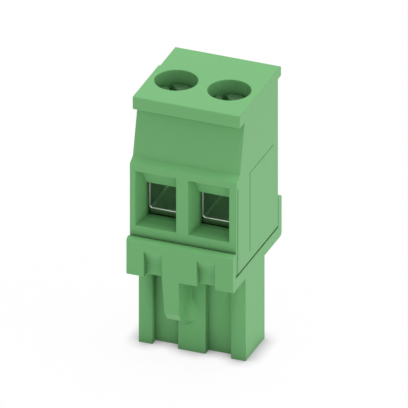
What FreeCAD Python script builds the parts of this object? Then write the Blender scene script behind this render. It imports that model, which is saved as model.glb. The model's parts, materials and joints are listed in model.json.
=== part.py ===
import FreeCAD, Part
import math
import os

# Two pole pluggable terminal block, standing on its plug end.
# X runs across the poles, Y from the wire entry side to the back, Z up.
# While building, Y is measured from the front edge of the top plate
# and Z from the plug end. Everything is in millimetres.

# Poles and overall sizes
PITCH = 5.08
POLE_COUNT = 2
SIDE_WALL_EXTRA = 0.04
WIDTH = PITCH * POLE_COUNT + 2 * SIDE_WALL_EXTRA
HALF_WIDTH = WIDTH / 2
POLE_SHIFT = -0.1
POLES = [PITCH * (i - (POLE_COUNT - 1) / 2) + POLE_SHIFT for i in range(POLE_COUNT)]
RIB_SHIFT = 0.06
NOTCHES = [pole + RIB_SHIFT for pole in POLES]
PLUG_HEIGHT = 8.37
TRAY_THICK = 1.15
UPPER_HEIGHT = 16.0
PART_Z = PLUG_HEIGHT + TRAY_THICK
TOP_Z = PART_Z + UPPER_HEIGHT
EDGE_BREAK = 0.12

# Side view of the terminal housing
CAP_DEPTH = 10.2
LIP_THICK = 1.28
LIP_STEP = 1.2
NECK_FOOT_Y = 0.05
NECK_FOOT_DROP = 5.95
SHOULDER_DROP = 6.42
FRONT_Y = -0.74
BACK_Y = 9.41
REAR_LIP_THICK = 0.94
VERTICAL_EDGE = 0.05
STEP_IN = 0.05
STEP_RUN = 0.38
STEP_TOP_DROP = 7.15
CAP_RELIEF_Y = 6.4
CAP_RELIEF = 0.15
LINE_DEPTH = 0.06
LINE_WIDTH = 0.12
LEVEL_LINE_WIDTH = 0.07
FIELD_Y0 = 2.49
FIELD_Y1 = 8.3
FIELD_TOP_DROP = 6.98
FIELD_BOTTOM_RISE = 1.05
SEAM_HEIGHT = 0.2
SEAM_IN = 0.25

# Wire entry funnel
WINDOW_HALF = 1.97
THROAT_HALF = 1.42
FUNNEL_DEPTH = 1.38
WINDOW_TOP_DROP = 7.07
THROAT_TOP_DROP = 8.73
WINDOW_FOOT_DROP = 12.54
THROAT_FOOT_DROP = 12.2
ROOF_FLAT = 0.72

# Screw well, shelf and cell
BORE_R = 1.97
BORE_CHAMFER = 0.04
SCREW_Y = 4.33
SHELF_THICK = 0.8
SHANK_FIT = 0.07
CAGE_FIT = 0.05
CAGE_END_FIT = 0.1
STOP_FIT = 0.15

# Clamping screw
HEAD_R = 1.775
HEAD_DROP = 1.28
HEAD_HEIGHT = 1.6
HEAD_FIT = 0.02
THREAD_R = 1.25
THREAD_PITCH = 0.45
THREAD_DEPTH = 0.24
SLOT_WIDTH = 0.6
SLOT_DEPTH = 0.62
SLOT_ANGLE = 135.0
TIP_CHAMFER = 0.3
TIP_FIT = 0.02

# Rising clamp cage, bent from one strip
CAGE_SHEET = 0.6
CAGE_HALF = PITCH / 2 - 0.65
CAGE_LENGTH = 6.1
CAGE_TOP_THICK = 1.2
CAGE_OUTER_R = 0.7
CAGE_INNER_R = 0.2
CAGE_TRAVEL = 2.85
CAGE_MOUTH = 2.97
THREAD_FIT = 0.025
SEAM = 0.06
SEAM_DEPTH = 0.4
CAGE_LEAD_IN = 0.06

# Contact strip: clamping bar, riser, foot and the two socket leaves
STRIP = 0.6
BAR_HALF = 1.2
BAR_FIT = 0.1
BAR_FRONT_Y = 0.92
GROOVE_WIDTH = 0.3
GROOVE_DEPTH = 0.12
GROOVE_STEP = 0.8
GROOVE_COUNT = 4
RISER_GAP = 0.3
BEND_R = 0.75
SOCKET_Y = 4.1
LEAF_HALF_DEPTH = 1.0
LEAF_SPREAD = 1.05
LEAF_PINCH = 0.75
LEAF_FLARE = 0.92
LEAF_BEND_RISE = 5.4
PINCH_RISE = 2.5
LEAF_END_RISE = 1.35
POCKET_FIT = 0.06
CHAMBER_FIT = 0.1

# Plug housing
PLUG_FRONT_Y = 1.45
PLUG_BACK_Y = 6.16
PLUG_RECESS_HALF = 1.225
PLUG_RECESS = 0.8
CHAMBER_FLOOR = 0.85
PIN_HALF = 0.7
PIN_LEAD = 0.3
SKIRT_FRONT_Y = -1.6
SKIRT_GAP = 0.17
SKIRT_TOP_RISE = 2.5
SKIRT_ROUND = 0.4
UPSTAND_GAP = 0.1
UPSTAND_THICK = 0.84
UPSTAND_TOP_RISE = 2.9
UPSTAND_ROUND = 0.2
TRAY_BACK_BEVEL = 0.3
KEY_HALF = 0.87
KEY_TOP_RISE = 1.48
KEY_DEPTH = 0.75
KEY_BACK_HALF = 1.2
KEY_BACK_RISE = 1.75
KEY_BACK_FIT = 0.03
KEY_RAMP = 1.0
KEY_RAMP_R = 1.2
SNAP_HALF = 0.8
SNAP_REACH = 0.11
SNAP_RISE = 1.2
SNAP_HEIGHT = 0.6
SNAP_FIT = 0.03

# Latch tongue below the skirt
TONGUE_X = -0.9
TONGUE_HALF = 0.8
TONGUE_TAPER = 0.13
TONGUE_LEAN = 0.34
TONGUE_STRAIGHT = 3.45
TONGUE_BEVEL = 0.7
TONGUE_BEVEL_DROP = 0.9
TONGUE_FOOT_SLOPE = 1.2
TONGUE_THICK = 1.9
TONGUE_INNER_STRAIGHT = 2.5
TONGUE_MERGE = 1.9
TONGUE_CORNER_R = 0.35
TONGUE_INNER_R = 1.2
TONGUE_BLEND_R = 0.55

# Levels and places that follow from the sizes above
CAP_UNDER_Z = TOP_Z - LIP_THICK
HEAD_TOP_Z = TOP_Z - HEAD_DROP
HEAD_UNDER_Z = HEAD_TOP_Z - HEAD_HEIGHT
SHELF_TOP_Z = HEAD_UNDER_Z - HEAD_FIT
SHELF_UNDER_Z = SHELF_TOP_Z - SHELF_THICK
CAGE_TOP_Z = SHELF_UNDER_Z - STOP_FIT - CAGE_TRAVEL
CAGE_ROOF_Z = CAGE_TOP_Z - CAGE_TOP_THICK
BAR_TOP_Z = CAGE_ROOF_Z - BAR_FIT
BAR_UNDER_Z = BAR_TOP_Z - STRIP
CAGE_FLOOR_Z = BAR_UNDER_Z - CAGE_MOUTH
CAGE_UNDER_Z = CAGE_FLOOR_Z - CAGE_SHEET
CAGE_FRONT_Y = SCREW_Y - CAGE_LENGTH / 2
CAGE_BACK_Y = SCREW_Y + CAGE_LENGTH / 2
CAGE_INNER_HALF = CAGE_HALF - CAGE_SHEET
CELL_HALF = CAGE_HALF + CAGE_FIT
CELL_FRONT_Y = CAGE_FRONT_Y - CAGE_END_FIT
CELL_BACK_Y = CAGE_BACK_Y + CAGE_END_FIT
RISER_FRONT_Y = CAGE_BACK_Y + RISER_GAP
RISER_BACK_Y = RISER_FRONT_Y + STRIP
UPSTAND_FRONT_Y = BACK_Y + UPSTAND_GAP
UPSTAND_BACK_Y = UPSTAND_FRONT_Y + UPSTAND_THICK
SKIRT_BACK_Y = FRONT_Y - SKIRT_GAP
CENTRE_Y = (SKIRT_FRONT_Y + UPSTAND_BACK_Y) / 2
SNAP_Z = PART_Z + SNAP_RISE
OVER = 1.0


def box(x0, x1, y0, y1, z0, z1):
    """Block between two corners."""
    size = (x1 - x0, y1 - y0, z1 - z0)
    return Part.makeBox(*size, FreeCAD.Vector(x0, y0, z0))


def place(a, b, along, axis):
    """Point from outline coordinates and the distance along an axis.

    Outlines are given as (y, z) for axis X, (x, z) for Y and (x, y) for Z.
    """
    places = {"X": (along, a, b), "Y": (a, along, b), "Z": (a, b, along)}
    return FreeCAD.Vector(*places[axis])


def outline_wire(points, along, axis):
    """Closed wire through (a, b) or (a, b, corner radius) points."""
    corners = [place(p[0], p[1], along, axis) for p in points]
    count = len(points)
    pieces = []
    for i, corner in enumerate(corners):
        radius = points[i][2] if len(points[i]) > 2 else 0
        if radius <= 0:
            pieces.append((corner, None, corner))
            continue
        before = (corners[i - 1] - corner).normalize()
        after = (corners[(i + 1) % count] - corner).normalize()
        half = before.getAngle(after) / 2
        reach = radius / math.tan(half)
        middle = (before + after).normalize()
        crown = corner + middle * (radius / math.sin(half) - radius)
        pieces.append((corner + before * reach, crown, corner + after * reach))
    edges = []
    for i, (start, crown, end) in enumerate(pieces):
        if crown is not None:
            edges.append(Part.Arc(start, crown, end).toShape())
        following = pieces[(i + 1) % count][0]
        if end.distanceToPoint(following) > 1e-6:
            edges.append(Part.makeLine(end, following))
    return Part.Wire(edges)


def prism(points, low, high, axis):
    """Solid on a closed outline, standing between two places on an axis."""
    face = Part.Face(outline_wire(points, low, axis))
    return face.extrude(place(0, 0, high - low, axis))


def rod(x, y, z0, z1, radius):
    """Upright cylinder."""
    return Part.makeCylinder(radius, z1 - z0, FreeCAD.Vector(x, y, z0))


def lathe(x, y, outline):
    """Upright turned solid from (radius, z) corners."""
    corners = [FreeCAD.Vector(r, 0, z) for r, z in outline]
    wire = Part.makePolygon(corners + corners[:1])
    turned = Part.Face(wire).revolve(FreeCAD.Vector(), FreeCAD.Vector(0, 0, 1), 360)
    turned.translate(FreeCAD.Vector(x, y, 0))
    return turned


def rounded_plan(front, back):
    """Full width plan outline with its four corners just broken."""
    return [
        (-HALF_WIDTH, front, VERTICAL_EDGE),
        (HALF_WIDTH, front, VERTICAL_EDGE),
        (HALF_WIDTH, back, VERTICAL_EDGE),
        (-HALF_WIDTH, back, VERTICAL_EDGE),
    ]


def upper_body():
    """Terminal housing from outside: cap, sloping neck, shoulder, front."""
    profile = [
        (0, TOP_Z, EDGE_BREAK),
        (0, CAP_UNDER_Z, EDGE_BREAK),
        (LIP_STEP, CAP_UNDER_Z),
        (NECK_FOOT_Y, TOP_Z - NECK_FOOT_DROP),
        (FRONT_Y, TOP_Z - SHOULDER_DROP, EDGE_BREAK),
        (FRONT_Y, PART_Z),
        (BACK_Y, PART_Z),
        (BACK_Y, TOP_Z - REAR_LIP_THICK),
        (CAP_DEPTH, TOP_Z - REAR_LIP_THICK, EDGE_BREAK),
        (CAP_DEPTH, TOP_Z, EDGE_BREAK),
    ]
    body = prism(profile, -HALF_WIDTH, HALF_WIDTH, "X")
    return body.common(prism(rounded_plan(FRONT_Y, CAP_DEPTH), PART_Z, TOP_Z, "Z"))


def side_relief(side):
    """Fine grooved outline of one side's field, and the seam at its foot."""
    wall = side * HALF_WIDTH
    beyond = wall + side * OVER
    line_x = sorted([wall - side * LINE_DEPTH, beyond])
    seam_x = sorted([wall - side * SEAM_IN, beyond])
    top = TOP_Z - FIELD_TOP_DROP
    upright = box(*line_x, FIELD_Y0, FIELD_Y0 + LINE_WIDTH, PART_Z + FIELD_BOTTOM_RISE, top)
    level = box(*line_x, FIELD_Y0, FIELD_Y1, top - LEVEL_LINE_WIDTH, top)
    seam = box(*seam_x, FRONT_Y - OVER, BACK_Y + OVER, PART_Z - OVER, PART_Z + SEAM_HEIGHT)
    return upright.fuse([level, seam])


def front_step(side):
    """Strip along one front corner that stands back from the side wall."""
    wall = side * HALF_WIDTH
    step_x = sorted([wall - side * STEP_IN, wall + side * OVER])
    return box(*step_x, FRONT_Y - OVER, FRONT_Y + STEP_RUN, PART_Z - OVER, TOP_Z - STEP_TOP_DROP)


def funnel(pole):
    """Wire entry: flat roof ending in a steep slope, tapered floor and sides."""
    throat_y = FRONT_Y + FUNNEL_DEPTH
    run = CELL_FRONT_Y + OVER
    rise = [
        (FRONT_Y - OVER, TOP_Z - WINDOW_TOP_DROP),
        (FRONT_Y + ROOF_FLAT, TOP_Z - WINDOW_TOP_DROP),
        (throat_y, TOP_Z - THROAT_TOP_DROP),
        (run, TOP_Z - THROAT_TOP_DROP),
        (run, TOP_Z - THROAT_FOOT_DROP),
        (throat_y, TOP_Z - THROAT_FOOT_DROP),
        (FRONT_Y, TOP_Z - WINDOW_FOOT_DROP),
        (FRONT_Y - OVER, TOP_Z - WINDOW_FOOT_DROP),
    ]
    plan = [
        (pole - WINDOW_HALF, FRONT_Y - OVER),
        (pole + WINDOW_HALF, FRONT_Y - OVER),
        (pole + WINDOW_HALF, FRONT_Y),
        (pole + THROAT_HALF, throat_y),
        (pole + THROAT_HALF, run),
        (pole - THROAT_HALF, run),
        (pole - THROAT_HALF, throat_y),
        (pole - WINDOW_HALF, FRONT_Y),
    ]
    block = prism(rise, pole - WINDOW_HALF, pole + WINDOW_HALF, "X")
    return block.common(prism(plan, PART_Z, TOP_Z, "Z"))


def cell(pole):
    """Everything hollowed out of the terminal housing for one pole."""
    well = lathe(pole, SCREW_Y, [
        (0, SHELF_TOP_Z),
        (BORE_R, SHELF_TOP_Z),
        (BORE_R, TOP_Z - BORE_CHAMFER),
        (BORE_R + BORE_CHAMFER, TOP_Z),
        (BORE_R + BORE_CHAMFER, TOP_Z + OVER),
        (0, TOP_Z + OVER),
    ])
    hole = rod(pole, SCREW_Y, SHELF_UNDER_Z - OVER, SHELF_TOP_Z + OVER, THREAD_R + SHANK_FIT)
    shaft = box(pole - CELL_HALF, pole + CELL_HALF, CELL_FRONT_Y, CELL_BACK_Y,
                PART_Z - OVER, SHELF_UNDER_Z)
    half = BAR_HALF + POCKET_FIT
    channel = box(pole - half, pole + half, CELL_BACK_Y - OVER, RISER_BACK_Y + POCKET_FIT,
                  PART_Z - OVER, BAR_TOP_Z)
    pocket = box(pole - half, pole + half, BAR_FRONT_Y - POCKET_FIT, CELL_FRONT_Y + OVER,
                 BAR_UNDER_Z, BAR_TOP_Z)
    return well.fuse([hole, shaft, channel, pocket, funnel(pole)])


def snap_block(pole, fit):
    """Wedge on the rear upstand; grown by the fit it is the pocket for it."""
    low = SNAP_Z - fit
    high = SNAP_Z + SNAP_HEIGHT + fit
    tip = UPSTAND_FRONT_Y - UPSTAND_GAP - SNAP_REACH - fit
    root = UPSTAND_FRONT_Y + EDGE_BREAK
    outline = [(root, low), (root, high + SNAP_HEIGHT), (tip, high), (tip, low)]
    return prism(outline, pole - SNAP_HALF - fit, pole + SNAP_HALF + fit, "X")


def cap_step():
    """Step back in the left edge of the cap, behind its proud front part."""
    return box(-HALF_WIDTH - OVER, -HALF_WIDTH + CAP_RELIEF, CAP_RELIEF_Y, CAP_DEPTH + OVER,
               CAP_UNDER_Z, TOP_Z + OVER)


def upper_housing():
    """Moulded terminal housing with screw wells, cells and wire entries."""
    body = upper_body()
    tools = [side_relief(-1), side_relief(1), front_step(1), cap_step()]
    for pole in POLES:
        tools.append(cell(pole))
        tools.append(snap_block(pole, SNAP_FIT))
    return body.cut(tools)


def skirt_and_tray():
    """Side view of the plug housing above the plug: skirt, tray, upstand."""
    skirt_top = PART_Z + SKIRT_TOP_RISE
    upstand_top = PART_Z + UPSTAND_TOP_RISE
    profile = [
        (SKIRT_FRONT_Y, PLUG_HEIGHT, EDGE_BREAK),
        (SKIRT_FRONT_Y, skirt_top, SKIRT_ROUND),
        (SKIRT_BACK_Y, skirt_top, EDGE_BREAK),
        (SKIRT_BACK_Y, PART_Z),
        (UPSTAND_FRONT_Y, PART_Z),
        (UPSTAND_FRONT_Y, upstand_top, EDGE_BREAK),
        (UPSTAND_BACK_Y, upstand_top, UPSTAND_ROUND),
        (UPSTAND_BACK_Y, PLUG_HEIGHT + TRAY_BACK_BEVEL),
        (UPSTAND_BACK_Y - TRAY_BACK_BEVEL, PLUG_HEIGHT),
    ]
    body = prism(profile, -HALF_WIDTH, HALF_WIDTH, "X")
    plan = rounded_plan(SKIRT_FRONT_Y, UPSTAND_BACK_Y)
    return body.common(prism(plan, PLUG_HEIGHT, TOP_Z, "Z"))


def plug_body():
    """Plug with its three front ribs."""
    body = prism(rounded_plan(PLUG_FRONT_Y, PLUG_BACK_Y), 0, PLUG_HEIGHT, "Z")
    recesses = [
        box(middle - PLUG_RECESS_HALF, middle + PLUG_RECESS_HALF, PLUG_FRONT_Y - OVER,
            PLUG_FRONT_Y + PLUG_RECESS, -OVER, PLUG_HEIGHT)
        for middle in NOTCHES
    ]
    return body.cut(recesses)


def tongue():
    """Tapered latch tongue that hangs from the skirt and joins the middle rib."""
    foot_y = SKIRT_FRONT_Y + TONGUE_LEAN
    straight_z = PLUG_HEIGHT - TONGUE_STRAIGHT
    foot_z = straight_z - TONGUE_BEVEL_DROP
    inner_y = SKIRT_FRONT_Y + TONGUE_THICK
    inner_z = PLUG_HEIGHT - TONGUE_INNER_STRAIGHT
    root_y = PLUG_FRONT_Y + EDGE_BREAK
    top_z = PLUG_HEIGHT + EDGE_BREAK
    profile = [
        (SKIRT_FRONT_Y, top_z),
        (foot_y, straight_z, EDGE_BREAK),
        (foot_y + TONGUE_BEVEL, foot_z),
        (root_y, foot_z - TONGUE_FOOT_SLOPE),
        (root_y, inner_z - TONGUE_MERGE),
        (inner_y, inner_z, TONGUE_INNER_R),
        (inner_y, top_z),
    ]
    top = TONGUE_HALF
    foot = TONGUE_HALF - TONGUE_TAPER
    low_z = foot_z - TONGUE_FOOT_SLOPE
    face = [
        (TONGUE_X - top, top_z),
        (TONGUE_X - foot, foot_z, TONGUE_CORNER_R),
        (TONGUE_X - foot + TONGUE_CORNER_R, low_z),
        (TONGUE_X + foot, low_z),
        (TONGUE_X + top, top_z),
    ]
    side = TONGUE_X + foot
    blend = [
        (side - EDGE_BREAK, PLUG_FRONT_Y - TONGUE_BLEND_R),
        (side, PLUG_FRONT_Y - TONGUE_BLEND_R),
        (side, PLUG_FRONT_Y, TONGUE_BLEND_R),
        (side + TONGUE_BLEND_R, PLUG_FRONT_Y),
        (side + TONGUE_BLEND_R, root_y),
        (side - EDGE_BREAK, root_y),
    ]
    body = prism(profile, TONGUE_X - top, side + TONGUE_BLEND_R, "X")
    fade = [
        (side - EDGE_BREAK, low_z),
        (side + TONGUE_BLEND_R, (low_z + straight_z) / 2),
        (side - EDGE_BREAK, straight_z),
    ]
    hanging = body.common(prism(face, SKIRT_FRONT_Y - OVER, root_y, "Y"))
    corner = body.common([prism(blend, low_z, straight_z, "Z"),
                          prism(fade, SKIRT_FRONT_Y, root_y, "Y")])
    return hanging.fuse(corner)


def key_notch(middle):
    """Coding notch in the skirt, with its sloped top."""
    top = PART_Z + KEY_TOP_RISE
    wall_y = SKIRT_BACK_Y - EDGE_BREAK
    profile = [
        (SKIRT_FRONT_Y - OVER, top),
        (SKIRT_FRONT_Y, top),
        (wall_y, top - KEY_RAMP, KEY_RAMP_R),
        (SKIRT_FRONT_Y + KEY_DEPTH, PART_Z),
        (SKIRT_FRONT_Y + KEY_DEPTH, PLUG_HEIGHT - OVER),
        (SKIRT_FRONT_Y - OVER, PLUG_HEIGHT - OVER),
    ]
    return prism(profile, middle - KEY_HALF, middle + KEY_HALF, "X")


def chamber(pole):
    """Socket chamber of one pole, open to the tray, with its pin hole."""
    half_x = LEAF_SPREAD + STRIP / 2 + CHAMBER_FIT
    half_y = LEAF_HALF_DEPTH + CHAMBER_FIT
    room = box(pole - half_x, pole + half_x, SOCKET_Y - half_y, SOCKET_Y + half_y,
               CHAMBER_FLOOR, PART_Z + OVER)
    hole = box(pole - PIN_HALF, pole + PIN_HALF, SOCKET_Y - PIN_HALF, SOCKET_Y + PIN_HALF,
               -OVER, CHAMBER_FLOOR + OVER)
    wide = PIN_HALF + PIN_LEAD
    lead_x = [(pole - wide, 0), (pole + wide, 0), (pole, wide)]
    lead_y = [(SOCKET_Y - wide, 0), (SOCKET_Y + wide, 0), (SOCKET_Y, wide)]
    lead = prism(lead_x, SOCKET_Y - wide, SOCKET_Y + wide, "Y").common(
        prism(lead_y, pole - wide, pole + wide, "X"))
    return room.fuse([hole, lead])


def lower_housing():
    """Plug housing: skirt, tray, rear upstand, plug, tongue and chambers."""
    body = skirt_and_tray().fuse([plug_body(), tongue()])
    backs = [
        box(middle - KEY_BACK_HALF, middle + KEY_BACK_HALF, SKIRT_BACK_Y - EDGE_BREAK,
            FRONT_Y - KEY_BACK_FIT, PART_Z - EDGE_BREAK, PART_Z + KEY_BACK_RISE)
        for middle in NOTCHES
    ]
    body = body.fuse(backs + [snap_block(pole, 0) for pole in POLES])
    tools = [key_notch(middle) for middle in NOTCHES] + [chamber(pole) for pole in POLES]
    return body.cut(tools).removeSplitter()


def cage(pole):
    """Clamp cage: one strip bent to a box, doubled and tapped at the top."""
    outer = [
        (pole - CAGE_HALF, CAGE_UNDER_Z, CAGE_OUTER_R),
        (pole + CAGE_HALF, CAGE_UNDER_Z, CAGE_OUTER_R),
        (pole + CAGE_HALF, CAGE_TOP_Z, CAGE_OUTER_R),
        (pole - CAGE_HALF, CAGE_TOP_Z, CAGE_OUTER_R),
    ]
    body = prism(outer, CAGE_FRONT_Y, CAGE_BACK_Y, "Y")
    opening = prism(cage_opening(pole, 0), CAGE_FRONT_Y - OVER, CAGE_BACK_Y + OVER, "Y")
    thread = rod(pole, SCREW_Y, CAGE_ROOF_Z - OVER, CAGE_TOP_Z + OVER, THREAD_R + THREAD_FIT)
    seam_z = (CAGE_ROOF_Z + CAGE_TOP_Z - SEAM) / 2
    tools = [opening, thread]
    for y in (CAGE_FRONT_Y, CAGE_BACK_Y - SEAM_DEPTH):
        tools.append(box(pole - CAGE_INNER_HALF, pole + CAGE_INNER_HALF, y, y + SEAM_DEPTH,
                         seam_z, seam_z + SEAM))
    for end, outward in ((CAGE_FRONT_Y, -1), (CAGE_BACK_Y, 1)):
        tools.append(flare(pole, end, outward))
    return body.cut(tools)


def cage_opening(pole, grow):
    """Outline of the cage's opening, made larger all round by grow."""
    half = CAGE_INNER_HALF + grow
    radius = CAGE_INNER_R + grow
    return [
        (pole - half, CAGE_FLOOR_Z - grow, radius),
        (pole + half, CAGE_FLOOR_Z - grow, radius),
        (pole + half, CAGE_ROOF_Z + grow, radius),
        (pole - half, CAGE_ROOF_Z + grow, radius),
    ]


def flare(pole, end, outward):
    """Bevel round the cage's opening at one of its ends."""
    wide = outline_wire(cage_opening(pole, CAGE_LEAD_IN), end, "Y")
    narrow = outline_wire(cage_opening(pole, 0), end - outward * CAGE_LEAD_IN, "Y")
    return Part.makeLoft([wide, narrow], True, True)


def screw(pole):
    """Slotted clamping screw with its thread cut as rings."""
    tip_z = BAR_TOP_Z + TIP_FIT
    root_r = THREAD_R - THREAD_DEPTH
    outline = [
        (0, HEAD_TOP_Z),
        (HEAD_R - EDGE_BREAK, HEAD_TOP_Z),
        (HEAD_R, HEAD_TOP_Z - EDGE_BREAK),
        (HEAD_R, HEAD_UNDER_Z),
        (THREAD_R, HEAD_UNDER_Z),
    ]
    first_z = SHELF_UNDER_Z + THREAD_PITCH / 2
    last_z = tip_z + TIP_CHAMFER + THREAD_PITCH
    rings = int((first_z - last_z) / THREAD_PITCH) + 1
    for i in range(rings):
        z = first_z - THREAD_PITCH * i
        outline.append((THREAD_R, z + THREAD_PITCH / 2))
        outline.append((root_r, z))
    outline.append((THREAD_R, first_z - THREAD_PITCH * (rings - 0.5)))
    outline.append((THREAD_R, tip_z + TIP_CHAMFER))
    outline.append((THREAD_R - TIP_CHAMFER, tip_z))
    outline.append((0, tip_z))
    body = lathe(pole, SCREW_Y, outline)
    slot = box(-HEAD_R - OVER, HEAD_R + OVER, -SLOT_WIDTH / 2, SLOT_WIDTH / 2,
               HEAD_TOP_Z - SLOT_DEPTH, HEAD_TOP_Z + OVER)
    slot.rotate(FreeCAD.Vector(), FreeCAD.Vector(0, 0, 1), SLOT_ANGLE)
    slot.translate(FreeCAD.Vector(pole, SCREW_Y, 0))
    return body.cut(slot)


def leaf(pole, side):
    """One spring leaf of the socket, pinched in and flared at its end."""
    path = [
        (LEAF_SPREAD, PART_Z + STRIP),
        (LEAF_SPREAD, LEAF_BEND_RISE),
        (LEAF_PINCH, PINCH_RISE),
        (LEAF_FLARE, LEAF_END_RISE),
    ]
    half = STRIP / 2
    outer = [(pole + side * (x + half), z) for x, z in path]
    inner = [(pole + side * (x - half), z) for x, z in reversed(path)]
    return prism(outer + inner, SOCKET_Y - LEAF_HALF_DEPTH, SOCKET_Y + LEAF_HALF_DEPTH, "Y")


def grip_groove(pole, middle):
    """Cross groove under the clamping bar that bites on the conductor."""
    vee = [
        (middle - GROOVE_WIDTH / 2, BAR_UNDER_Z),
        (middle + GROOVE_WIDTH / 2, BAR_UNDER_Z),
        (middle, BAR_UNDER_Z + GROOVE_DEPTH),
    ]
    return prism(vee, pole - BAR_HALF, pole + BAR_HALF, "X")


def contact(pole):
    """Contact: clamping bar through the cage, riser, foot, two leaves."""
    inner_r = BEND_R - STRIP
    front = SOCKET_Y - LEAF_HALF_DEPTH
    strip = [
        (BAR_FRONT_Y, BAR_TOP_Z),
        (RISER_BACK_Y, BAR_TOP_Z, BEND_R),
        (RISER_BACK_Y, PART_Z, BEND_R),
        (front, PART_Z),
        (front, PART_Z + STRIP),
        (RISER_FRONT_Y, PART_Z + STRIP, inner_r),
        (RISER_FRONT_Y, BAR_UNDER_Z, inner_r),
        (BAR_FRONT_Y, BAR_UNDER_Z),
    ]
    body = prism(strip, pole - BAR_HALF, pole + BAR_HALF, "X")
    tab_half = LEAF_SPREAD + STRIP / 2
    tab = box(pole - tab_half, pole + tab_half, front, SOCKET_Y + LEAF_HALF_DEPTH,
              PART_Z, PART_Z + STRIP)
    whole = body.fuse([tab, leaf(pole, -1), leaf(pole, 1)]).removeSplitter()
    first = SCREW_Y - GROOVE_STEP * (GROOVE_COUNT - 1) / 2
    return whole.cut([grip_groove(pole, first + GROOVE_STEP * i) for i in range(GROOVE_COUNT)])


def save(name, shape):
    """Write one piece, moved so that the outer box is centred on the origin."""
    moved = shape.copy()
    moved.translate(FreeCAD.Vector(0, -CENTRE_Y, 0))
    moved.exportStep("parts/" + name + ".step")


def main():
    os.makedirs("parts", exist_ok=True)
    save("upper_housing", upper_housing())
    save("lower_housing", lower_housing())
    for number, pole in enumerate(POLES, 1):
        save("clamp_cage_%d" % number, cage(pole))
        save("clamp_screw_%d" % number, screw(pole))
        save("contact_%d" % number, contact(pole))


main()
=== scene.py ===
import json
import math

import bmesh
import bpy
from mathutils import Matrix, Vector


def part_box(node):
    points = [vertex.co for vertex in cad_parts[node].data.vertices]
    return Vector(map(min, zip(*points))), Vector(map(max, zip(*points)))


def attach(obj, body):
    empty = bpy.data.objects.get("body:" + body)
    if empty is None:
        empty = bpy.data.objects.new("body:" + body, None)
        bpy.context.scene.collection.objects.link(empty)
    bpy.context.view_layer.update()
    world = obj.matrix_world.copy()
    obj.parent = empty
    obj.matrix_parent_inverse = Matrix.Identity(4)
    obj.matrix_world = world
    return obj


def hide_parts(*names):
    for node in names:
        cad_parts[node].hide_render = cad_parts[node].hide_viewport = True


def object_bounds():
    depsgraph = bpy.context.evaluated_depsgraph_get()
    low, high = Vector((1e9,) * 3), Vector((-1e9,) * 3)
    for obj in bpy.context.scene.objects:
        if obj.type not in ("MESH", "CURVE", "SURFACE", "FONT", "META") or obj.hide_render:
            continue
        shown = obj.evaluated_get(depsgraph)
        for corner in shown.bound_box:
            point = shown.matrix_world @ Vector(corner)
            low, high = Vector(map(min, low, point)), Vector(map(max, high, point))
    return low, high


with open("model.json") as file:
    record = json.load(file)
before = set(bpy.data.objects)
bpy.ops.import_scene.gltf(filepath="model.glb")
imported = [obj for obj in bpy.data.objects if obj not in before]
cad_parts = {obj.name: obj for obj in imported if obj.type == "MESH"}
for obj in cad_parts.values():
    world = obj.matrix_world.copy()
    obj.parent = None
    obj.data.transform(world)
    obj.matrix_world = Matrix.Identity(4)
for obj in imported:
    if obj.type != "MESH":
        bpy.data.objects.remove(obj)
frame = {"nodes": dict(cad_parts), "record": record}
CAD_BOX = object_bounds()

bl_info = {
    "name": "Pluggable Terminal Block",
    "version": (1, 0, 0),
    "blender": (4, 5, 0),
    "location": "View3D > Sidebar > Terminal Block",
    "description": "Finishes a two pole pluggable terminal block and sets its studio",
    "category": "Object",
}

SCREW_NODES = ("clamp_screw_1", "clamp_screw_2")
CAGE_NODES = ("clamp_cage_1", "clamp_cage_2")
CONTACT_NODES = ("contact_1", "contact_2")
PLUG_NODE = "lower_housing"
HOUSING_NODES = ("upper_housing", PLUG_NODE)

# Where masks of the finishes start and end: the painted shade in hollows, and the painted
# reflection inside the moulding and on the strips' front ends
DEEP_RAMP = (0.35, 0.9)
INSIDE_RAMP = (0.3, 0.75)
FRONT_RAMP = (0.85, 0.95)

# How bright a finish's painted edge highlights, its specks and its clouds are against its body
EDGE_HIGHLIGHT_GAIN, DARK_SPECK = 1.45, 0.6
METAL_EDGE_HIGHLIGHT_GAIN = 1.5
SCREW_CLOUDS = (0.9, 1.06)
STRIP_CLOUDS = (0.92, 1.04)

# Stretch of the streaks along X, Y and Z: the lower, the longer
PLASTIC_FLOW = (1, 1, 0.25)
CAGE_MARKS = (1, 0.08, 1)
CONTACT_MARKS = (1, 0.12, 0.12)

# How far the turning marks waver, in radians, and their share of the relief
RING_WAVER = 3
RING_RELIEF = 0.7

# The floor's gap below the block and its cells along each side
FLOOR_GAP = 0.00001
FLOOR_CELLS = 8

# Where the camera starts and stops to see, against its distance
NEAR_SHARE, FAR_SHARE = 0.01, 20


# Settings

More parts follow.
